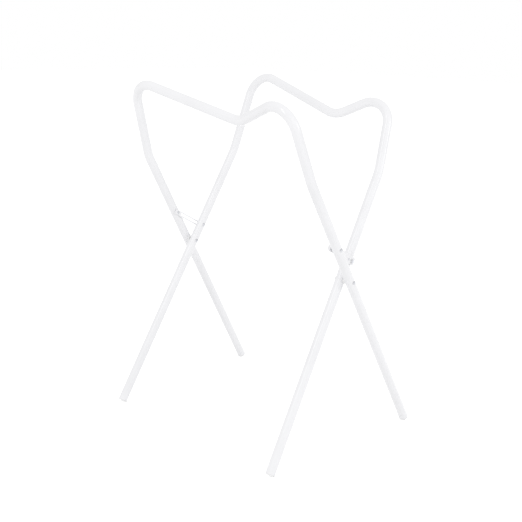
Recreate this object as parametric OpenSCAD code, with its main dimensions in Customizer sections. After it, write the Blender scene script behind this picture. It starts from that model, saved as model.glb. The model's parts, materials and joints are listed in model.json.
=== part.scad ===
// Folding stand for a baby bath: two bent-tube hoops crossed in an X on each side.
// X runs along the rails, Y from the front to the back, Z up from the floor.
// The origin is on the floor in the middle of the four feet.
// The outer hoop stands on the back feet and carries the front rail; the inner hoop
// stands on the front feet and carries the back rail.

/* [Tube] */
// Outside diameter of the tube
tube_od = 25; // [20:1:28]
// Wall thickness of the tube
tube_wall = 1.2; // [1:0.1:2]
// Bend radius of the knees, to the centre of the tube
knee_r = 120; // [80:5:140]
// Bend radius of the top corners
corner_r = 60; // [45:1:70]
// Bend radius of the dip in the rail
dip_r = 70; // [50:1:90]

/* [Stance] */
// Front-to-back distance between the foot centres, opened
foot_spread = 506; // [460:1:540]
// Side-to-side distance between the feet of the outer hoop
foot_width = 646; // [600:1:680]
// Height of the main pivots above the floor
pivot_h = 441; // [420:1:460]
// Sideways step between the tubes of the two hoops, centre to centre
hoop_step = 31; // [30.5:0.5:33]

/* [Rails] */
// Height of the knees
knee_h = 695; // [670:1:720]
// Sideways draw-in of each leg from the foot to the knee
leg_draw = 27; // [20:1:32]
// Height of the left top corners, where the centre lines meet
left_corner_h = 904; // [885:1:920]
// Height of the right top corners
right_corner_h = 892; // [875:1:910]
// The left top corner of the inner hoop is this much higher
inner_left_rise = 20; // [0:1:24]
// Sideways draw-in of each side from the knee to the top corner
side_draw = 24; // [15:1:34]
// Sideways step between the hoops at the top corners
corner_step = 27.5; // [26:0.5:33]
// Distance of the top corners from the middle plane
corner_out = 215; // [200:1:230]
// Height of the dip, where the centre lines meet
dip_h = 821; // [800:1:840]
// Distance of the dip to the right of the middle
dip_x = 90; // [40:1:110]
// Distance of the dip from the middle plane
dip_out = 177; // [165:1:200]

/* [Foot caps] */
// Thickness of the cap head
cap_t = 3.2; // [2.5:0.1:5]
// Length of the plug inside the tube
cap_plug = 18; // [10:1:30]
// Rounding of the cap edge
cap_round = 1.6; // [1:0.1:2]
// Depth of the flat that rests on the floor
cap_flat = 1; // [0.5:0.1:1.2]

/* [Pins] */
// Diameter of every pin and bolt shank
pin_d = 6; // [5:0.5:6.5]
// Diameter of the domed heads
head_d = 8.5; // [8:0.5:10]
// Height of the domed heads
head_h = 3; // [2:0.1:4]
// Diameter of the low heads that hold the stay and the plate
rim_d = 8; // [7.5:0.5:8.5]
// Height of those low heads
rim_h = 1.4; // [1:0.1:1.6]
// Diameter of the bush between the hoops
bush_d = 16; // [13:1:18]
// Diameter of the washers
washer_d = 12; // [10:0.5:13]
// Width of the thin hexagon nut across its flats
nut_w = 9; // [9:0.5:10]
// Height of the thin hexagon nut
nut_h = 3.2; // [2.5:0.1:3.4]
// Thickness of the white washer under the nut
pad_t = 0.8; // [0.5:0.1:1]

/* [Slotted stay] */
// Rivet on the outer hoop, measured up the leg from the main pivot
stay_rivet_up = 98; // [92:1:104]
// Pin on the inner hoop, measured up the leg from the main pivot
slot_pin_up = 50; // [46:1:54]
// Thickness of the stay and of the lock plate
strip_t = 1.5; // [1.2:0.1:2]
// Width of the stay
stay_w = 14; // [12:0.5:16]
// Width of its slot
slot_w = 6.2; // [6.2:0.1:7]
// Solid length between the rivet and the start of the slot
stay_solid = 11.5; // [9:0.5:16]
// Length beyond each pin
stay_end = 11; // [9:0.5:14]

/* [Lock plate] */
// Pin on the outer hoop, measured up the leg from the main pivot
lock_pin_up = 104; // [98:1:108]
// Bolt on the inner hoop, measured up the leg from the main pivot
lock_bolt_up = 51; // [48:1:54]
// Plate edge above the line from bolt to pin
plate_top = 11.5; // [11:0.5:12.5]
// Plate edge below that line
plate_bottom = 9.5; // [9:0.5:11]
// Length beyond the bolt
plate_end = 10; // [9:0.5:12]
// Length beyond the lock pin, up to the thumb tab
tab_out = 8.5; // [6.5:0.5:9]
// Depth of the thumb tab
tab_depth = 8; // [5:0.5:9]
// Fold angle of the inner hoop from open to closed
fold_angle = 46; // [40:0.5:46]
// Turn of the plate on the inner hoop for each degree of fold
plate_ratio = 1.26; // [1.24:0.01:1.28]
// Width of the curved slot
arc_slot_w = 7.4; // [7.2:0.1:7.6]

/* [Hidden] */
$fn = 64;
bend_lap = 0.4;
slot_ease = 0.1;
run_fit = 0.06;    // radial clearance of a pin that turns in its hole
side_gap = 0.15;   // clearance beside the stay and the plate
plate_shift = 0.25; // the plate lies nearer to the inner hoop, as the outer one leans in above it
seat = 0.25;       // heads and washers stand this far off the tube, which leans a little
tube_r = tube_od / 2;
// The bends are a hair slimmer than the straights, which run a little way over them.
bend_slim = 0.03 + tube_r * (1 - cos(180 / $fn));
plate_corner = 4;  // rounding of the lock plate's end at the bolt
lip_len = 24;      // length of the folded lower edge of the lock plate
lip_less = 2;      // that edge is shallower than the thumb tab by this much
bore_r = tube_r - tube_wall;
pin_r = pin_d / 2;
lean = atan2(foot_spread / 2, pivot_h);
foot_z = tube_r * sin(lean) - cap_round * (cos(lean) + sin(lean) - 1) - cap_flat;

function unit(v) = v / norm(v);
function perp(v) = unit(abs(v.z) < 0.9 ? cross([0, 0, 1], v) : cross([0, 1, 0], v));
function spin(v, a) = [v.x * cos(a) - v.y * sin(a), v.x * sin(a) + v.y * cos(a)];

// Centre line of a hoop. The feet are on side dir (1 back, -1 front), the rail opposite.
function knee_out() = foot_spread / 2 * (knee_h - pivot_h) / (pivot_h - foot_z);
function hoop_path(dir, step, top_step, rise) =
    let (wf = foot_width / 2 - step, wk = wf - leg_draw,
         wc = foot_width / 2 - leg_draw - side_draw - top_step)
    [[-wf, dir * foot_spread / 2, foot_z],
     [-wk, -dir * knee_out(), knee_h],
     [-wc, -dir * corner_out, left_corner_h + rise],
     [dip_x, -dir * dip_out, dip_h],
     [wc, -dir * corner_out, right_corner_h],
     [wk, -dir * knee_out(), knee_h],
     [wf, dir * foot_spread / 2, foot_z]];
hoop_bends = [0, knee_r, corner_r, dip_r, corner_r, knee_r, 0];
outer_path = hoop_path(1, 0, 0, 0);
inner_path = hoop_path(-1, hoop_step, corner_step, inner_left_rise);

// Point on a right-hand leg, a given distance up the leg from the main pivot.
function leg_dir(p) = unit(p[5] - p[6]);
function leg_pivot(p) = p[6] + leg_dir(p) * (-p[6].y / leg_dir(p).y);
function leg_at(p, up) = leg_pivot(p) + leg_dir(p) * up;

outer_pivot = leg_at(outer_path, 0);
inner_pivot = leg_at(inner_path, 0);
stay_a = leg_at(outer_path, stay_rivet_up);
stay_b = leg_at(inner_path, slot_pin_up);
lock_a = leg_at(outer_path, lock_pin_up);
lock_b = leg_at(inner_path, lock_bolt_up);
function yz(p) = [p.y, p.z - pivot_h];
// The stay and the plate lie in the gap between the hoops.
function gap_mid(a, b) = (a.x - tube_r + b.x + tube_r) / 2;
stay_x = gap_mid(stay_a, stay_b);
plate_x = gap_mid(lock_a, lock_b) - plate_shift;

module frame_at(o, x, y, z) {
    multmatrix([[x[0], y[0], z[0], o[0]], [x[1], y[1], z[1], o[1]],
                [x[2], y[2], z[2], o[2]], [0, 0, 0, 1]]) children();
}
module rod(a, b, r) {
    z = unit(b - a);
    x = perp(z);
    frame_at(a, x, cross(z, x), z) cylinder(h = norm(b - a), r = r);
}
module bend(p, a, b, rad, r) {
    ang = acos(a * b);
    n = unit(b - (a * b) * a);
    s = p - a * rad * tan(ang / 2);
    frame_at(s + n * rad, -n, a, cross(a, n))
        rotate_extrude(angle = ang, $fn = 128) translate([rad, 0]) circle(r = r);
}
function turn(p, i) = acos(unit(p[i] - p[i - 1]) * unit(p[i + 1] - p[i]));
function tangent(p, i) = i == 0 || i == len(p) - 1 ? 0 :
    hoop_bends[i] * tan(turn(p, i) / 2) - bend_lap;
// Straights and bends along a path; over lengthens both ends.
module bent_rod(p, r, over) {
    n = len(p) - 1;
    for (i = [0:n - 1]) {
        u = unit(p[i + 1] - p[i]);
        rod(p[i] + u * (i == 0 ? -over : tangent(p, i)),
            p[i + 1] - u * (i == n - 1 ? -over : tangent(p, i + 1)), r);
    }
    for (i = [1:n - 1])
        bend(p[i], unit(p[i] - p[i - 1]), unit(p[i + 1] - p[i]), hoop_bends[i], r - bend_slim);
}
module on_side(s) {
    if (s > 0) children();
    else mirror([1, 0, 0]) children();
}
// A cylinder along X from x0 to x1 through the point p.
module x_rod(p, x0, x1, r) {
    translate([x0, p.y, p.z]) rotate([0, 90, 0]) cylinder(h = x1 - x0, r = r);
}
module leg_hole(s, p, r) {
    on_side(s) x_rod(p, p.x - 20, p.x + 20, r);
}
// A domed head on X at x0, growing towards +X or -X.
module dome_head(p, x0, d, h, out) {
    ball = (h * h + d * d / 4) / (2 * h);
    translate([x0, p.y, p.z]) rotate([0, out * 90, 0]) rotate_extrude()
        intersection() {
            translate([0, h - ball]) circle(r = ball);
            square([d / 2, h]);
        }
}
module washer(p, x0, x1, d) {
    difference() {
        x_rod(p, x0, x1, d / 2);
        x_rod(p, x0 - 1, x1 + 1, pin_r);
    }
}
module tube_hoop(p) {
    difference() {
        bent_rod(p, tube_r, -cap_t);
        bent_rod(p, bore_r, 5);
        children();
    }
}

module outer_hoop() {
    color("white") tube_hoop(outer_path) {
        leg_hole(-1, outer_pivot, pin_r);
        leg_hole(1, outer_pivot, pin_r);
        leg_hole(-1, stay_a, pin_r);
        leg_hole(1, lock_a, pin_r);
    }
}
module inner_hoop() {
    color("white") tube_hoop(inner_path) {
        leg_hole(-1, inner_pivot, pin_r + run_fit);
        leg_hole(1, inner_pivot, pin_r + run_fit);
        leg_hole(-1, stay_b, pin_r);
        leg_hole(1, lock_b, pin_r);
    }
}

// Push-in cap: a rounded head as wide as the tube, a plug, and a flat where it rests.
module foot_cap(p, i, j) {
    u = unit(p[j] - p[i]);
    x = perp(u);
    difference() {
        frame_at(p[i], x, cross(u, x), u) {
            rotate_extrude() {
                translate([tube_r - cap_round, cap_round]) intersection() {
                    circle(r = cap_round);
                    translate([0, -cap_round]) square(cap_round);
                }
                square([tube_r - cap_round, cap_t]);
                translate([0, cap_round]) square([tube_r, cap_t - cap_round]);
            }
            translate([0, 0, cap_t - 0.5]) cylinder(h = cap_plug + 0.5, r = bore_r);
        }
        translate([p[i].x - tube_od, p[i].y - tube_od, -tube_od])
            cube([2 * tube_od, 2 * tube_od, tube_od]);
    }
}
module foot_cap_back_left() { color("white") foot_cap(outer_path, 0, 1); }
module foot_cap_back_right() { color("white") foot_cap(outer_path, 6, 5); }
module foot_cap_front_left() { color("white") foot_cap(inner_path, 0, 1); }
module foot_cap_front_right() { color("white") foot_cap(inner_path, 6, 5); }

// Main pivot pin, fixed in the outer hoop, a domed head at both ends.
module pivot_pin() {
    a = outer_pivot.x + tube_r + seat;
    b = inner_pivot.x - tube_r - 2 * seat;
    x_rod(outer_pivot, b - 1, a + 1, pin_r);
    dome_head(outer_pivot, a, head_d, head_h, 1);
    dome_head(outer_pivot, b, head_d, head_h, -1);
}
module pivot_pin_left() { color("silver") on_side(-1) pivot_pin(); }
module pivot_pin_right() { color("silver") on_side(1) pivot_pin(); }

// Plastic bush between the hoops, hollowed to sit on the outer tube.
module pivot_bush() {
    difference() {
        x_rod(outer_pivot, inner_pivot.x + tube_r + 3 * seat, outer_pivot.x - 5, bush_d / 2);
        rod(leg_at(outer_path, -bush_d), leg_at(outer_path, bush_d), tube_r);
        x_rod(outer_pivot, inner_pivot.x, outer_pivot.x, pin_r);
    }
}
module pivot_bush_left() { color("whitesmoke") on_side(-1) pivot_bush(); }
module pivot_bush_right() { color("whitesmoke") on_side(1) pivot_bush(); }

module rounded(x0, x1, y0, y1, r) {
    translate([x0 + r, y0]) square([x1 - x0 - 2 * r, y1 - y0]);
    translate([x0, y0 + r]) square([x1 - x0, y1 - y0 - 2 * r]);
    for (x = [x0 + r, x1 - r], y = [y0 + r, y1 - r]) translate([x, y]) circle(r = r);
}
module slot(x0, x1, w) {
    translate([x0, -w / 2]) square([x1 - x0, w]);
    for (x = [x0, x1]) translate([x, 0]) circle(d = w);
}

// Slotted stay on the left: riveted to the outer hoop, slides on a pin of the inner one.
module slotted_stay() {
    v = yz(stay_b) - yz(stay_a);
    e = unit(v);
    color("white") on_side(-1)
        frame_at([stay_x - strip_t / 2, stay_a.y, stay_a.z], [0, e.x, e.y], [0, -e.y, e.x], [1, 0, 0])
            linear_extrude(strip_t) difference() {
                rounded(-stay_end, norm(v) + stay_end, -stay_w / 2, stay_w / 2, 1.5);
                circle(r = pin_r + run_fit);
                slot(stay_solid + slot_w / 2, norm(v), slot_w);
            }
}
module stay_rivet() {
    rim_x = stay_x - strip_t / 2 - side_gap;
    a = stay_a.x + tube_r + seat;
    color("silver") on_side(-1) {
        x_rod(stay_a, rim_x - rim_h / 2, a + 1, pin_r);
        dome_head(stay_a, a, head_d, head_h, 1);
        dome_head(stay_a, rim_x, rim_d, rim_h, -1);
    }
}
module stay_washer() {
    color("silver") on_side(-1)
        washer(stay_a, stay_x + strip_t / 2 + side_gap, stay_a.x - tube_r - seat, washer_d);
}
// Pin of the inner hoop that guides the slot.
module slot_pin() {
    b = stay_b.x - tube_r - seat;
    color("silver") on_side(-1) {
        x_rod(stay_b, b - 1, stay_b.x + tube_r - seat, pin_r);
        dome_head(stay_b, b, head_d, head_h, -1);
    }
}

// Lock plate on the right: turns on a bolt of the inner hoop, and the lock pin of the
// outer hoop runs in its curved slot. The slot follows the path of the pin.
lock_v = yz(lock_a) - yz(lock_b);
lock_rest = atan2(lock_v.y, lock_v.x);
function pin_path(f) = let (w = spin(yz(lock_a) - spin(yz(lock_b), f),
    -(lock_rest + f * (1 - plate_ratio)))) [w.x, -w.y];
path_a = pin_path(0);
path_m = pin_path(fold_angle / 2);
path_b = pin_path(fold_angle);
// Centre of the circle through three points.
function circle_centre(a, b, c) =
    let (d = 2 * (a.x * (b.y - c.y) + b.x * (c.y - a.y) + c.x * (a.y - b.y)))
    [(a * a * (b.y - c.y) + b * b * (c.y - a.y) + c * c * (a.y - b.y)) / d,
     (a * a * (c.x - b.x) + b * b * (a.x - c.x) + c * c * (b.x - a.x)) / d];
arc_c = circle_centre(path_a, path_m, path_b);
arc_r = norm(path_a - arc_c);
module arc_slot() {
    intersection() {
        translate(arc_c) difference() {
            circle(r = arc_r + arc_slot_w / 2, $fn = 128);
            circle(r = arc_r - arc_slot_w / 2, $fn = 128);
        }
        polygon([arc_c, arc_c + 2 * (path_a - arc_c), arc_c + 2 * (path_m - arc_c),
                 arc_c + 2 * (path_b - arc_c)]);
    }
    // The round ends are a hair wider than the arc, so that they cut it cleanly.
    for (p = [path_a, path_b]) translate(p) circle(d = arc_slot_w + slot_ease);
}
module plate_frame(out) {
    e = unit(lock_v);
    frame_at([plate_x + out, lock_b.y, lock_b.z], [0, e.x, e.y], [0, e.y, -e.x], [-1, 0, 0])
        children();
}
stud_pos = [15, 0.5];
// Square at the tab, rounded at the end beyond the bolt.
module plate_outline(reach) {
    inner = plate_corner - plate_end;
    translate([inner, -plate_bottom]) square([reach - inner, plate_top + plate_bottom]);
    translate([-plate_end, plate_corner - plate_bottom])
        square([2 * plate_corner, plate_top + plate_bottom - 2 * plate_corner]);
    for (y = [plate_corner - plate_bottom, plate_top - plate_corner])
        translate([inner, y]) circle(r = plate_corner);
}
module lock_plate() {
    reach = norm(lock_v) + tab_out;
    color("white") plate_frame(strip_t / 2) difference() {
        union() {
            linear_extrude(strip_t) plate_outline(reach);
            // thumb tab, bent inwards at the end and along the lower edge
            translate([reach - strip_t, -plate_bottom, 0])
                cube([strip_t, plate_bottom + plate_top - 1, tab_depth]);
            translate([reach - lip_len, -plate_bottom, 0])
                cube([lip_len, strip_t, tab_depth - lip_less]);
        }
        translate([0, 0, -1]) linear_extrude(strip_t + 2) {
            circle(r = pin_r + run_fit);
            arc_slot();
            translate(stud_pos) circle(r = 2);
        }
    }
}
module plate_stud() {
    color("silver") plate_frame(strip_t / 2) {
        translate([stud_pos.x, stud_pos.y, -0.6]) cylinder(h = strip_t + 0.6, r = 2);
        translate([stud_pos.x, stud_pos.y, -0.6]) cylinder(h = 0.6, r = 2.6);
    }
}
plate_out_x = plate_x + strip_t / 2 + side_gap;
plate_in_x = plate_x - strip_t / 2 - side_gap;
module lock_bolt() {
    b = lock_b.x - tube_r - seat;
    color("silver") {
        x_rod(lock_b, b - 1, plate_out_x + pad_t + nut_h + 0.8, pin_r);
        dome_head(lock_b, b, head_d, head_h, -1);
    }
}
module lock_nut() {
    x0 = plate_out_x + pad_t;
    color("silver") difference() {
        translate([x0, lock_b.y, lock_b.z]) rotate([0, 90, 0])
            cylinder(h = nut_h, d = nut_w / cos(30), $fn = 6);
        x_rod(lock_b, x0 - 1, x0 + nut_h + 1, pin_r);
    }
}
module lock_nut_washer() {
    color("white") washer(lock_b, plate_out_x, plate_out_x + pad_t, washer_d + 1);
}
module lock_plate_washer() {
    color("silver") washer(lock_b, lock_b.x + tube_r + seat, plate_in_x, washer_d);
}
// Pin of the outer hoop that runs in the curved slot.
module lock_pin() {
    a = lock_a.x + tube_r + seat;
    color("silver") {
        x_rod(lock_a, plate_in_x - rim_h / 2, a + 1, pin_r);
        dome_head(lock_a, a, head_d, head_h, 1);
        dome_head(lock_a, plate_in_x, rim_d, rim_h, -1);
    }
}
module lock_pin_washer() {
    color("silver") washer(lock_a, plate_out_x, lock_a.x - tube_r - seat, washer_d);
}

outer_hoop();
inner_hoop();
foot_cap_back_left();
foot_cap_back_right();
foot_cap_front_left();
foot_cap_front_right();
pivot_pin_left();
pivot_pin_right();
pivot_bush_left();
pivot_bush_right();
slotted_stay();
stay_rivet();
stay_washer();
slot_pin();
lock_plate();
plate_stud();
lock_bolt();
lock_nut();
lock_nut_washer();
lock_plate_washer();
lock_pin();
lock_pin_washer();
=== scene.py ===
import json
import math

import bpy
from mathutils import Matrix, Vector


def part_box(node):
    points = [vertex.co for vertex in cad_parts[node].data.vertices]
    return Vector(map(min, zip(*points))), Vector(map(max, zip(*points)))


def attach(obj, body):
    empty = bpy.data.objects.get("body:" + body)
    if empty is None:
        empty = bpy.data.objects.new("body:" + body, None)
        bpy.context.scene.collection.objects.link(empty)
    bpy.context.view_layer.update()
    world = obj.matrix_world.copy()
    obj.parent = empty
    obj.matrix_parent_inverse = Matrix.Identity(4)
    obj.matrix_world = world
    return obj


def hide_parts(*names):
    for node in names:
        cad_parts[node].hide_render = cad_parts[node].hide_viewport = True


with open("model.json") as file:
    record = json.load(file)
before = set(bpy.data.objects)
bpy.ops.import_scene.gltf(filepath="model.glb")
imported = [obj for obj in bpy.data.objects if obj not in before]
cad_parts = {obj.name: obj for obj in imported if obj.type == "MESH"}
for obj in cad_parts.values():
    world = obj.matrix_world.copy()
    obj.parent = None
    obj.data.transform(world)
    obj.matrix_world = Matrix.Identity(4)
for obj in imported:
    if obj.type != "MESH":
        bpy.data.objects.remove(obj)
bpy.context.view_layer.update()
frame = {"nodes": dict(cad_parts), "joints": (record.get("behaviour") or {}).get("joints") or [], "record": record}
node = frame["nodes"]
joint = {each["name"]: each for each in frame["joints"]}


# ---------------------------------------------------------------- outer hoop
# The hoop that stands on the back feet and carries the front rail: one length
# of 25 mm welded steel tube with a 1.2 mm wall, cold bent at two knees, two
# top corners and the dip, then powder coated white.
def linear_from_hex(code):
    """Turns an sRGB colour such as F2F2F4 into linear red, green, blue, alpha."""
    parts = [int(code[i:i + 2], 16) / 255 for i in (0, 2, 4)]
    return (*[p / 12.92 if p <= 0.04045 else ((p + 0.055) / 1.055) ** 2.4 for p in parts], 1)


def add_node(tree, kind, links=(), **settings):
    """Adds a shader node. Settings are its sockets or properties by name with _ for a
    space; links are (its input, other node, that node's output)."""
    made = tree.nodes.new(kind)
    for key, value in settings.items():
        name = key.replace("_", " ")
        if name in made.inputs:
            made.inputs[name].default_value = value
        else:
            setattr(made, key, value)
    for socket, other, output in links:
        tree.links.new(other.outputs[output], made.inputs[socket])
    return made


def new_material(name):
    """An empty material with a Principled shader, and object coordinates in metres."""
    material = bpy.data.materials.new(name)
    material.use_nodes = True
    tree = material.node_tree
    tree.nodes.clear()
    place = add_node(tree, "ShaderNodeTexCoord")
    shader = add_node(tree, "ShaderNodeBsdfPrincipled")
    add_node(tree, "ShaderNodeOutputMaterial", [("Surface", shader, "BSDF")])
    return material, tree, place, shader


def add_noise(tree, place, scale, detail, roughness):
    """Noise in object coordinates, whose cells are about 1 m divided by the scale."""
    return add_node(tree, "ShaderNodeTexNoise", [("Vector", place, "Object")],
                    Scale=scale, Detail=detail, Roughness=roughness)


def shade_ramp(tree, noise, low, high):
    """Turns noise into a colour between two stops, each (position, hex colour)."""
    ramp = add_node(tree, "ShaderNodeValToRGB", [("Fac", noise, "Fac")])
    for element, (position, code) in zip(ramp.color_ramp.elements, (low, high)):
        element.position = position
        element.color = linear_from_hex(code)
    return ramp


def vary_gloss(tree, shader, noise, read, roughness):
    """Lets noise vary the roughness: the range read, and the roughness at its two ends."""
    gloss = add_node(tree, "ShaderNodeMapRange", [("Value", noise, "Fac")],
                     From_Min=read[0], From_Max=read[1], To_Min=roughness[0], To_Max=roughness[1])
    tree.links.new(gloss.outputs["Result"], shader.inputs["Roughness"])


def raise_grain(tree, shader, noise, strength, depth):
    """Makes the surface rise and fall with noise; the depth is in metres."""
    bump = add_node(tree, "ShaderNodeBump", [("Height", noise, "Fac")],
                    Strength=strength, Distance=depth)
    tree.links.new(bump.outputs["Normal"], shader.inputs["Normal"])


def powder_coat(name, light, dark, roughness):
    """Polyester powder coat on steel: a soft, slightly blurred highlight along the tube,
    a film that is a little thicker and duller every hand's width, an orange peel with
    cells of about 3 mm, and a few specks of dust under the coat."""
    material, tree, place, shader = new_material(name)
    film = add_noise(tree, place, 9.0, 3.0, 0.55)
    tone = shade_ramp(tree, film, (0.32, dark), (0.68, light))
    speck = add_noise(tree, place, 420.0, 2.0, 0.6)
    dust = shade_ramp(tree, speck, (0.22, "DEDCD8"), (0.25, "FFFFFF"))
    colour = add_node(tree, "ShaderNodeMix", data_type="RGBA", blend_type="MULTIPLY")
    colour.inputs[0].default_value = 0.5
    tree.links.new(tone.outputs["Color"], colour.inputs[6])
    tree.links.new(dust.outputs["Color"], colour.inputs[7])
    tree.links.new(colour.outputs[2], shader.inputs["Base Color"])
    vary_gloss(tree, shader, film, (0.3, 0.7), (roughness - 0.05, roughness + 0.05))
    # the orange peel is about a hundredth of a millimetre deep
    raise_grain(tree, shader, add_noise(tree, place, 330.0, 1.0, 0.4), 0.03, 0.0003)
    shader.inputs["IOR"].default_value = 1.5
    return material


def start_new():
    """Leaves edit mode and deselects everything."""
    if bpy.context.object and bpy.context.object.mode != "OBJECT":
        bpy.ops.object.mode_set(mode="OBJECT")
    bpy.ops.object.select_all(action="DESELECT")


def take_up(piece):
    """Makes one piece the only selected and active one."""
    start_new()
    piece.select_set(True)
    bpy.context.view_layer.objects.active = piece


def apply_step(piece, kind, **settings):
    """Adds a modifier to a piece with these settings and applies it."""
    take_up(piece)
    step = piece.modifiers.new("step", kind)
    for key, value in settings.items():
        setattr(step, key, value)
    bpy.ops.object.modifier_apply(modifier=step.name)


def finish_piece(piece, name, body, material, nodes, angle=40):
    """Names a piece, sets its place in its mesh, smooths it and hangs it on its body."""
    take_up(piece)
    bpy.ops.object.transform_apply(location=True, rotation=True, scale=True)
    bpy.ops.object.shade_smooth_by_angle(angle=math.radians(angle))
    apply_step(piece, "WEIGHTED_NORMAL", keep_sharp=True)
    piece.name = name
    piece.data.materials.clear()
    piece.data.materials.append(material)
    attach(piece, body)
    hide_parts(*nodes)


# The visible tube is 0.08 mm slimmer in radius than the solid one, so that it stays
# inside the solid hoop.
solid_radius = 0.0125
tube_radius = solid_radius - 0.00008
tube_wall = 0.0012
tube_sides = 64
# Knee, top corner, dip, top corner and knee, to the middle of the tube.
bend_radii = (0.120, 0.060, 0.070, 0.060, 0.120)
degrees_per_ring = 3
cap_head = 0.0032
merged = 1e-6


def bend_tube(corners):
    """Runs a ring of the tube up its corner points, straight to each bend and round it."""
    run = [Vector(c) for c in corners]
    ways = [(b - a).normalized() for a, b in zip(run, run[1:])]
    run[0] = run[0] + ways[0] * cap_head
    run[-1] = run[-1] - ways[-1] * cap_head
    start_new()
    bpy.ops.mesh.primitive_circle_add(vertices=tube_sides, radius=tube_radius, location=run[0],
                                      rotation=ways[0].to_track_quat("Z", "Y").to_euler())
    tube = bpy.context.object
    bpy.ops.object.transform_apply(location=True, rotation=True, scale=True)
    bpy.ops.object.mode_set(mode="EDIT")
    bpy.ops.mesh.select_all(action="SELECT")
    here = run[0]
    for corner, radius, before, after in zip(run[1:-1], bend_radii, ways, ways[1:]):
        turn = before.angle(after)
        back = radius * math.tan(turn / 2)
        stop = corner - before * back
        bpy.ops.mesh.extrude_region_move(TRANSFORM_OT_translate={"value": stop - here})
        inward = (after - before * after.dot(before)).normalized()
        rings = max(6, round(math.degrees(turn) / degrees_per_ring))
        # spin turns against the right-hand rule, hence the minus
        bpy.ops.mesh.spin(steps=rings, angle=-turn, dupli=False, center=stop + inward * radius,
                          axis=before.cross(inward).normalized())
        here = corner + after * back
    bpy.ops.mesh.extrude_region_move(TRANSFORM_OT_translate={"value": run[-1] - here})
    bpy.ops.mesh.select_all(action="SELECT")
    bpy.ops.mesh.remove_doubles(threshold=merged)
    bpy.ops.mesh.normals_make_consistent(inside=False)
    apply_step(tube, "SOLIDIFY", thickness=tube_wall, offset=-1)
    return tube


# Sizes of the hoops, on the tube's centre line. A foot's height comes from its cap,
# which leans with the leg and stands on a small flat of its rounded edge.
main_pivot = Vector(joint["fold"]["pos_m"])
foot_side = 0.323
foot_back = 0.253
lean = math.atan2(foot_back, main_pivot.z)
cap_round = 0.0016
cap_flat = 0.001
foot_height = (solid_radius * math.sin(lean) - cap_flat
               - cap_round * (math.sin(lean) + math.cos(lean) - 1))
knee_height = 0.695
knee_out = foot_back * (knee_height - main_pivot.z) / (main_pivot.z - foot_height)
leg_draw = 0.027
side_draw = 0.024
corner_out = 0.215
left_corner_height = 0.904
right_corner_height = 0.892
dip_side = 0.090
dip_out = 0.177
dip_height = 0.821


def hoop_corners(back, at_legs=0, at_top=0, raised=0):
    """Where a hoop's straight runs would meet, from its left foot over the rail to its
    right foot. Its feet are at the back (1) or the front (-1). The inner hoop is
    narrower by a step at the legs and another at the top, and its left end is raised."""
    foot = foot_side - at_legs
    knee = foot - leg_draw
    top = foot_side - leg_draw - side_draw - at_top
    return [(-foot, back * foot_back, foot_height), (-knee, -back * knee_out, knee_height),
            (-top, -back * corner_out, left_corner_height + raised),
            (dip_side, -back * dip_out, dip_height),
            (top, -back * corner_out, right_corner_height),
            (knee, -back * knee_out, knee_height), (foot, back * foot_back, foot_height)]


white_coat = powder_coat("white_powder_coat", "F4F4F6", "F0F0F2", 0.2)
outer_corners = hoop_corners(1)
finish_piece(bend_tube(outer_corners), "outer_tube", "outer_frame", white_coat,
             ["outer_hoop"])

# ---------------------------------------------------------------- inner hoop
# The same tube bent narrower, so that it folds inside the outer hoop. It stands on
# the front feet and carries the back rail, whose left end is 20 mm higher.
leg_step = 0.031
top_step = 0.0275
left_rise = 0.020
inner_corners = hoop_corners(-1, leg_step, top_step, left_rise)
finish_piece(bend_tube(inner_corners), "inner_tube", "inner_frame", white_coat,
             ["inner_hoop"])


# ---------------------------------------------------------------- foot caps
# Push-in end caps of white low-density polyethylene, injection moulded. The
# head is flush with the tube; the plug inside holds it by friction.
def paint_floor_shade(tree, place, shader, tone):
    """Paints shade near the floor: the lowest 5 mm of a plastic fades to a darker grey in noisy patches."""
    parts = add_node(tree, "ShaderNodeSeparateXYZ", [("Vector", place, "Object")])
    near = add_node(tree, "ShaderNodeMapRange", [("Value", parts, "Z")],
                    From_Min=0.0, From_Max=0.005, To_Min=0.75, To_Max=0.0)
    # painted shade: noisy patches that fade out over the lowest 5 mm above the floor
    shade_patches = add_noise(tree, place, 420.0, 3.0, 0.7)
    painted_shade_mask = add_node(tree, "ShaderNodeMath", [(0, near, "Result"), (1, shade_patches, "Fac")],
                      operation="MULTIPLY")
    colour = add_node(tree, "ShaderNodeMix", data_type="RGBA", blend_type="MIX")
    tree.links.new(painted_shade_mask.outputs["Value"], colour.inputs[0])
    tree.links.new(tone.outputs["Color"], colour.inputs[6])
    # the grey of the painted shade near the floor
    colour.inputs[7].default_value = linear_from_hex("BDBDBA")
    tree.links.new(colour.outputs[2], shader.inputs["Base Color"])


def moulded_plastic(name, light, dark, roughness, floor_shaded=False):
    """Moulded plastic: dull and opaque, with a slightly cloudy tone, a fine spark-eroded grain of about 0.8 mm,
    drawn that coarse so that it shows, and, where asked, painted shade darkening its lowest 5 mm near the floor."""
    material, tree, place, shader = new_material(name)
    cloud = add_noise(tree, place, 70.0, 3.0, 0.6)
    tone = shade_ramp(tree, cloud, (0.35, dark), (0.65, light))
    tree.links.new(tone.outputs["Color"], shader.inputs["Base Color"])
    if floor_shaded:
        paint_floor_shade(tree, place, shader, tone)
    raise_grain(tree, shader, add_noise(tree, place, 1250.0, 2.0, 0.6), 0.15, 0.0002)
    vary_gloss(tree, shader, cloud, (0.3, 0.7), (roughness - 0.06, roughness + 0.06))
    shader.inputs["IOR"].default_value = 1.51
    return material


def dress(names, material):
    """Gives CAD parts their material in their own slots."""
    for name in names:
        for place in node[name].material_slots:
            place.material = material


# the foot caps get painted shade on their lowest 5 mm, near the floor
foot_plastic = moulded_plastic("white_polyethylene_painted_floor_shade", "EFEFF0", "E9E9EA", 0.5, True)
dress(["foot_cap_back_left", "foot_cap_back_right", "foot_cap_front_left",
       "foot_cap_front_right"], foot_plastic)

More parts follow.
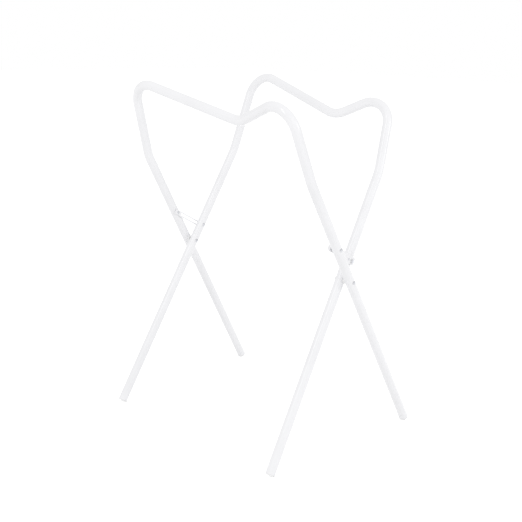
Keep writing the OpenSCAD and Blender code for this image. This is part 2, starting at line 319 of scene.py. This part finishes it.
# ---------------------------------------------------------------- pivot bushes
# Short moulded bushes that keep the two hoops apart at the main pivots.
white_plastic = moulded_plastic("white_nylon", "F1F1F1", "EBEBEB", 0.42)
dress(["pivot_bush_left", "pivot_bush_right"], white_plastic)


# ---------------------------------------------------------------- pins and rivets
# Cold-headed mild steel pins with domed heads, zinc plated after heading.
def plated_steel(name, light, dark, roughness):
    """Zinc plating on cold-headed steel: a greyish metal with cloudy patches of about
    4 mm where the passivation took differently, and fine handling marks."""
    material, tree, place, shader = new_material(name)
    cloud = add_noise(tree, place, 250.0, 4.0, 0.6)
    tone = shade_ramp(tree, cloud, (0.35, dark), (0.65, light))
    tree.links.new(tone.outputs["Color"], shader.inputs["Base Color"])
    marks = add_noise(tree, place, 1600.0, 3.0, 0.7)
    vary_gloss(tree, shader, marks, (0.35, 0.65), (roughness - 0.08, roughness + 0.1))
    raise_grain(tree, shader, marks, 0.1, 0.0001)
    shader.inputs["Metallic"].default_value = 1.0
    return material


bright_zinc = plated_steel("bright_zinc_plate", "CFD0D4", "BCBDC2", 0.3)
dress(["pivot_pin_left", "pivot_pin_right", "slot_pin", "lock_pin", "plate_stud",
       "stay_rivet", "stay_washer", "lock_plate_washer", "lock_pin_washer"], bright_zinc)


# ---------------------------------------------------------------- slotted stay
# A strip of 1.5 mm steel, blanked with one long slot and coated with the tubes.
def copy_solid(source):
    """A free copy of a CAD solid with its triangles merged into whole faces."""
    copy = node[source].copy()
    copy.data = node[source].data.copy()
    for key in list(copy.keys()):
        del copy[key]
    copy.parent = None
    bpy.context.scene.collection.objects.link(copy)
    take_up(copy)
    bpy.ops.object.mode_set(mode="EDIT")
    bpy.ops.mesh.select_all(action="SELECT")
    bpy.ops.mesh.remove_doubles(threshold=merged)
    bpy.ops.mesh.dissolve_limited(angle_limit=math.radians(0.5))
    bpy.ops.mesh.select_all(action="DESELECT")
    bpy.ops.object.mode_set(mode="OBJECT")
    return copy


def deburr(piece, radius):
    """Rounds every sharp edge, as tumbling does to a blanked part."""
    apply_step(piece, "BEVEL", width=radius, segments=3, limit_method="ANGLE",
               angle_limit=math.radians(35), use_clamp_overlap=False)


stay = copy_solid("slotted_stay")
deburr(stay, 0.0002)
finish_piece(stay, "stay_strip", "stay", white_coat, ["slotted_stay"])

# ---------------------------------------------------------------- lock plate
# A wider pressing of the same 1.5 mm steel. Its front end is folded inwards as the
# thumb tab and its lower edge to stiffen it; a curved slot runs on the lock pin.
strip = 0.0015
pin_up_leg = 0.104
bolt_at = Vector(joint["plate_turn"]["pos_m"])
leg_foot, leg_knee = Vector(outer_corners[-1]), Vector(outer_corners[-2])
leg_way = (leg_knee - leg_foot).normalized()
pin_at = leg_foot + leg_way * (pin_up_leg - leg_foot.y / leg_way.y)
pin_at.x = bolt_at.x
along = (pin_at - bolt_at).normalized()
across = Vector((0, along.z, -along.y))
# The plate as it lies on the bench: the bolt is at the origin and the pin on +X.
plate_end = -0.010
tab_out = 0.0085
plate_reach = (pin_at - bolt_at).length + tab_out
plate_upper = 0.0115
plate_lower = -0.0095
end_round = 0.004
fold_radius = 0.0016
relief = 0.001
tab_depth = 0.008
tab_line = plate_reach - fold_radius
tab_top = plate_upper - relief
lip_length = 0.024
lip_depth = 0.006
lip_line = plate_lower + fold_radius
lip_start = plate_reach - lip_length
near = 1e-5


def pick(piece, kind, wanted):
    """Selects the vertices, edges or faces of a piece whose corners all pass a test."""
    bpy.ops.mesh.select_all(action="DESELECT")
    bpy.ops.mesh.select_mode(type=kind)
    bpy.ops.object.mode_set(mode="OBJECT")
    mesh = piece.data
    if kind == "VERT":
        for spot in mesh.vertices:
            spot.select = wanted(spot.co)
    else:
        for part in mesh.edges if kind == "EDGE" else mesh.polygons:
            part.select = all(wanted(mesh.vertices[i].co) for i in part.vertices)
    bpy.ops.object.mode_set(mode="EDIT")


def fold_in(piece, wanted, way, depth):
    """Bends an edge of the flat blank a quarter turn inwards and runs it on to its depth."""
    pick(piece, "EDGE", wanted)
    bpy.ops.mesh.spin(steps=6, angle=-math.pi / 2, dupli=False,
                      center=(tab_line, lip_line, fold_radius), axis=way.cross(Vector((0, 0, 1))))
    bpy.ops.mesh.extrude_region_move(TRANSFORM_OT_translate={"value": (0, 0, depth - fold_radius)})


# The blank, with its outer face down.
start_new()
bpy.ops.mesh.primitive_plane_add(size=1, location=((plate_reach + plate_end) / 2,
                                                   (plate_upper + plate_lower) / 2, 0))
plate = bpy.context.object
plate.scale = (plate_reach - plate_end, plate_upper - plate_lower, 1)
bpy.ops.object.transform_apply(location=True, rotation=True, scale=True)
bpy.ops.object.mode_set(mode="EDIT")
bpy.ops.mesh.select_all(action="SELECT")
bpy.ops.mesh.flip_normals()
pick(plate, "VERT", lambda spot: spot.x < plate_end + near)
bpy.ops.mesh.bevel(offset=end_round, segments=8, affect="VERTICES")
# Scribed lines: where the lip and its relief begin, the two folds, and the tab's top.
for spot, way in (((lip_start, 0, 0), (1, 0, 0)), ((lip_start + relief, 0, 0), (1, 0, 0)),
                  ((tab_line, 0, 0), (1, 0, 0)), ((0, lip_line, 0), (0, 1, 0)),
                  ((0, tab_top, 0), (0, 1, 0))):
    bpy.ops.mesh.select_all(action="SELECT")
    bpy.ops.mesh.bisect(plane_co=spot, plane_no=way)
# The strips beyond the folds are cut off, and grown again along the folds.
pick(plate, "FACE", lambda spot: spot.x > tab_line - near)
bpy.ops.mesh.delete(type="FACE")
pick(plate, "FACE", lambda spot: spot.x > lip_start - near and spot.y < lip_line + near)
bpy.ops.mesh.delete(type="FACE")
fold_in(plate, lambda spot: abs(spot.y - lip_line) < near and spot.z < near
        and spot.x > lip_start + relief - near, Vector((0, -1, 0)), lip_depth)
fold_in(plate, lambda spot: abs(spot.x - tab_line) < near and spot.z < near
        and spot.y < tab_top + near, Vector((1, 0, 0)), tab_depth)
apply_step(plate, "SOLIDIFY", thickness=strip, offset=-1, use_even_offset=True)

# The curved slot follows the lock pin as the stand folds.
fold_end = math.radians(joint["fold"]["range_deg"][1])
plate_ratio = next(pair["ratio"] for pair in frame["record"]["behaviour"]["couplings"]
                   if pair["joint"] == "plate_turn")


def pin_on_plate(fold):
    """Where the lock pin is on the plate when the stand is folded so far."""
    bolt_now = main_pivot + Matrix.Rotation(fold, 3, "X") @ (bolt_at - main_pivot)
    turned_back = Matrix.Rotation(-fold * (1 + plate_ratio), 3, "X")
    away = turned_back @ (pin_at - bolt_now)
    return Vector((away.dot(along), away.dot(across), 0))


def circle_middle(a, b, c):
    """The middle of the circle through three points of the blank."""
    area = 2 * (a.x * (b.y - c.y) + b.x * (c.y - a.y) + c.x * (a.y - b.y))
    aa, bb, cc = a.length_squared, b.length_squared, c.length_squared
    return Vector(((aa * (b.y - c.y) + bb * (c.y - a.y) + cc * (a.y - b.y)) / area,
                   (aa * (c.x - b.x) + bb * (a.x - c.x) + cc * (b.x - a.x)) / area, 0))


def punch(piece, tool):
    """Punches a hole with a tool and takes the tool away."""
    apply_step(piece, "BOOLEAN", operation="DIFFERENCE", object=tool)
    bpy.data.objects.remove(tool)


slot_start, slot_half, slot_end = (pin_on_plate(fold_end * share) for share in (0, 0.5, 1))
slot_middle = circle_middle(slot_start, slot_half, slot_end)
start_turn, end_turn = (math.atan2(spot.y - slot_middle.y, spot.x - slot_middle.x)
                        for spot in (slot_start, slot_end))
slot_width = 0.0075
bolt_hole = 0.00306
stud_at, stud_hole = (0.015, 0.0005, 0), 0.002
punch_length = 0.01
for spot, radius, turn in (((0, 0, 0), bolt_hole, 0), (stud_at, stud_hole, 0),
                           (slot_start, slot_width / 2, start_turn),
                           (slot_end, slot_width / 2, end_turn)):
    start_new()
    bpy.ops.mesh.primitive_cylinder_add(vertices=64, radius=radius, depth=punch_length,
                                        location=spot, rotation=(0, 0, turn))
    punch(plate, bpy.context.object)
start_new()
bpy.ops.mesh.primitive_plane_add(size=1, rotation=(math.pi / 2, 0, end_turn), location=slot_end)
arc_tool = bpy.context.object
arc_tool.scale = (slot_width, punch_length, 1)
bpy.ops.object.transform_apply(location=True, rotation=True, scale=True)
bpy.ops.object.mode_set(mode="EDIT")
bpy.ops.mesh.select_all(action="SELECT")
bpy.ops.mesh.spin(steps=24, angle=end_turn - start_turn, dupli=False, center=slot_middle,
                  axis=(0, 0, 1))
bpy.ops.mesh.select_all(action="SELECT")
bpy.ops.mesh.remove_doubles(threshold=merged)
bpy.ops.mesh.normals_make_consistent(inside=False)
punch(plate, arc_tool)
# the slot's ends and its arc meet within a hundredth of a millimetre
bpy.ops.object.mode_set(mode="EDIT")
bpy.ops.mesh.select_all(action="SELECT")
bpy.ops.mesh.remove_doubles(threshold=2e-5)
deburr(plate, 0.00018)
turned = Matrix((along, across, (-1, 0, 0))).transposed().to_4x4()
plate.matrix_world = Matrix.Translation(bolt_at + Vector((strip / 2, 0, 0))) @ turned
finish_piece(plate, "lock_pressing", "lock", white_coat, ["lock_plate"])

# ---------------------------------------------------------------- bolt and nut
# The plate turns on a bolt through the inner hoop. A thin hexagon nut holds it,
# cold formed with turned chamfers at both faces, on a white nylon washer.
dress(["lock_nut_washer"], white_plastic)
fresh_zinc = plated_steel("fresh_zinc_plate", "E4E5E8", "D6D7DB", 0.37)
nut_low, nut_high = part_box("lock_nut")
turned_radius = 0.00519
chamfer = 0.00072
# The turned shape runs a little way past both faces of the nut.
past = 0.0001
nut = copy_solid("lock_nut")
start_new()
bpy.ops.mesh.primitive_cylinder_add(vertices=64, radius=turned_radius,
                                    depth=nut_high.x - nut_low.x + 2 * past,
                                    location=(nut_low + nut_high) / 2,
                                    rotation=(0, math.radians(90), 0))
turned = bpy.context.object
bpy.ops.object.mode_set(mode="EDIT")
bpy.ops.mesh.select_all(action="DESELECT")
bpy.ops.mesh.select_mode(type="FACE")
bpy.ops.object.mode_set(mode="OBJECT")
for face in turned.data.polygons:
    face.select = len(face.vertices) > 4
bpy.ops.object.mode_set(mode="EDIT")
bpy.ops.mesh.bevel(offset=chamfer + past, segments=1, affect="EDGES")
apply_step(nut, "BOOLEAN", operation="INTERSECT", object=turned)
bpy.data.objects.remove(turned)
finish_piece(nut, "hexagon_nut", "inner_frame", fresh_zinc, ["lock_nut"], 25)

bolt = copy_solid("lock_bolt")
deburr(bolt, 0.0004)
finish_piece(bolt, "plate_bolt", "inner_frame", fresh_zinc, ["lock_bolt"])


# ---------------------------------------------------------------- studio
# A seamless white sweep in a bright room: the floor keeps the stand's soft shadow,
# and both floor and room are plain white where they are seen.
def rays(tree, first, *others):
    """A node that gives 1 for rays of these kinds and 0 for the rest."""
    path = add_node(tree, "ShaderNodeLightPath")
    found, output = path, f"Is {first} Ray"
    for kind in others:
        found = add_node(tree, "ShaderNodeMath", [(0, found, output), (1, path, f"Is {kind} Ray")],
                         operation="MAXIMUM")
        output = "Value"
    return found


start_new()
bpy.ops.mesh.primitive_plane_add(size=40, location=(0, 0, 0))
floor = bpy.context.object
floor.name = "studio_floor"
paper = bpy.data.materials.new("white_paper_sweep")
paper.use_nodes = True
tree = paper.node_tree
tree.nodes.clear()
matt = add_node(tree, "ShaderNodeBsdfDiffuse", Color=linear_from_hex("F4F4F4"))
glow = add_node(tree, "ShaderNodeEmission", Color=(1, 1, 1, 1), Strength=0.45)
lit = add_node(tree, "ShaderNodeAddShader", [(0, matt, "BSDF"), (1, glow, "Emission")])
seen = rays(tree, "Camera", "Glossy", "Transmission")
choose = add_node(tree, "ShaderNodeMixShader",
                  [("Fac", seen, "Value"), (1, matt, "BSDF"), (2, lit, "Shader")])
add_node(tree, "ShaderNodeOutputMaterial", [("Surface", choose, "Shader")])
floor.data.materials.append(paper)

world = bpy.data.worlds.new("studio_room")
bpy.context.scene.world = world
world.use_nodes = True
tree = world.node_tree
tree.nodes.clear()
room = add_node(tree, "ShaderNodeBackground", Color=(1, 1, 1, 1), Strength=0.87)
white = add_node(tree, "ShaderNodeBackground", Color=(1, 1, 1, 1), Strength=1.0)
seen = rays(tree, "Camera", "Transmission")
choose = add_node(tree, "ShaderNodeMixShader",
                  [("Fac", seen, "Value"), (1, room, "Background"), (2, white, "Background")])
add_node(tree, "ShaderNodeOutputWorld", [("Surface", choose, "Shader")])

stand_middle = Vector((0, 0, 0.45))


def softbox(name, place, width, height, power):
    """A rectangular soft light that faces the middle of the stand."""
    lamp = bpy.data.lights.new(name, "AREA")
    lamp.shape = "RECTANGLE"
    lamp.size = width
    lamp.size_y = height
    lamp.energy = power
    box = bpy.data.objects.new(name, lamp)
    box.location = place
    box.rotation_mode = "QUATERNION"
    box.rotation_quaternion = (Vector(place) - stand_middle).to_track_quat("Z", "Y")
    bpy.context.scene.collection.objects.link(box)


softbox("key_softbox", (2.9, -1.6, 2.2), 1.4, 1.4, 4)
softbox("side_softbox", (2.4, 0.8, 1.6), 1.0, 1.0, 7.5)
softbox("front_strip", (0.17, -2.67, 2.4), 0.2, 1.8, 12)

# ---------------------------------------------------------------- camera
# The photograph's own viewpoint, worked out from the stand's tubes.
azimuth, elevation, roll = (math.radians(a) for a in (44.032, 14.8225, 1.4788))
camera_at = Vector((1.5245116, -1.5771446, 1.0123523))
back = Vector((math.sin(azimuth) * math.cos(elevation), -math.cos(azimuth) * math.cos(elevation),
               math.sin(elevation)))
level = Vector((math.cos(azimuth), math.sin(azimuth), 0))
rise = back.cross(level)
right = math.cos(roll) * level + math.sin(roll) * rise
up = -math.sin(roll) * level + math.cos(roll) * rise
lens = bpy.data.cameras.new("photo_camera")
lens.sensor_width = 36
lens.lens = 57.8385
camera = bpy.data.objects.new("photo_camera", lens)
camera.matrix_world = (Matrix.Translation(camera_at)
                       @ Matrix((right, up, back)).transposed().to_4x4())
bpy.context.scene.collection.objects.link(camera)
bpy.context.scene.camera = camera
bpy.context.scene.view_settings.view_transform = "Standard"
